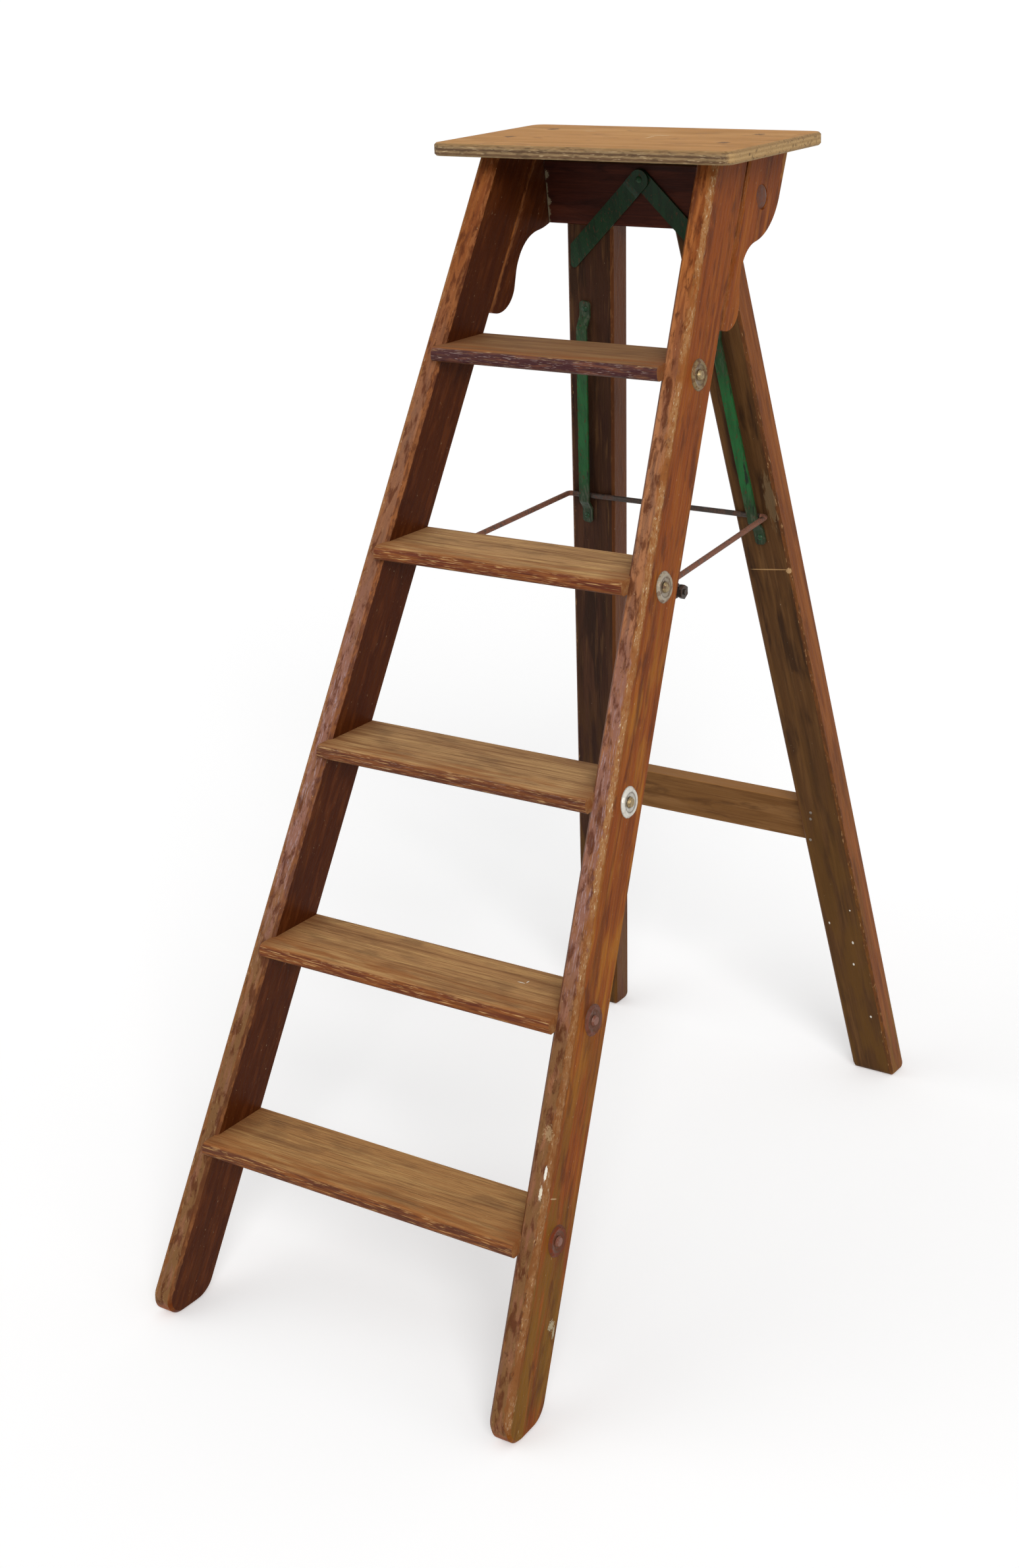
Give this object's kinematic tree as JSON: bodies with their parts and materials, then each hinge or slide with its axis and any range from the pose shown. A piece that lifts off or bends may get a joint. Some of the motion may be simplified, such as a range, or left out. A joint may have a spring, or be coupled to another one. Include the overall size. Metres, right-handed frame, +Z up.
{
  "type": "step ladder",
  "caption": "Folding wooden step ladder with housed treads, a plywood platform, a hinged rear frame and a sliding iron stay.",
  "frame": {"origin": "on the floor under the middle of the open ladder", "axes": "+Z up, -Y the side one climbs from, X across the treads"},
  "size_m": [0.5594, 1.0918, 1.409],
  "materials": {
    "stile_timber": "satin",
    "tread_timber": "matte",
    "plywood": "matte",
    "leg_timber": "satin",
    "green_iron": "painted",
    "bare_steel": "worn",
    "rusty_iron": "rusty"
  },
  "bodies": {
    "front_frame": {"left_stile": "stile_timber", "right_stile": "stile_timber", "left_cheek": "stile_timber", "right_cheek": "stile_timber", "tread_1": "tread_timber", "tread_2": "tread_timber", "tread_3": "tread_timber", "tread_4": "tread_timber", "tread_5": "tread_timber", "platform": "plywood", "tie_rods": "bare_steel", "cup_washers": "bare_steel", "stay_eyes": "rusty_iron", "stay_end_pins": "rusty_iron", "stay_nuts": "rusty_iron"},
    "rear_frame": {"top_board": "leg_timber", "left_rear_leg": "leg_timber", "right_rear_leg": "leg_timber", "rear_rail": "leg_timber", "left_brace": "green_iron", "right_brace": "green_iron", "left_guide": "green_iron", "right_guide": "green_iron", "pivot_bolts": "rusty_iron"},
    "stay_bar": {"stay_crossbar": "rusty_iron"},
    "stay_arms": {"left_stay_arm": "rusty_iron", "right_stay_arm": "rusty_iron"}
  },
  "joints": [
    {"name": "fold", "type": "hinge", "parent": "front_frame", "child": "rear_frame", "pos_m": [0, 0.27325, 1.336], "axis": [-1, 0, 0], "range_deg": [0, 37.7]},
    {"name": "stay_slide", "type": "slide", "parent": "rear_frame", "child": "stay_bar", "axis": [0, -0.1805, 0.9836], "range_m": [0, 0.236]},
    {"name": "stay_swing", "type": "hinge", "parent": "stay_bar", "child": "stay_arms", "pos_m": [0, 0.33664, 0.90334], "axis": [1, 0, 0], "range_deg": [0, 98.4]}
  ],
  "couplings": [
    {"joint": "stay_slide", "follows": "fold", "m_per_rad": 0.35867},
    {"joint": "stay_swing", "follows": "fold", "ratio": 2.6101}
  ]
}
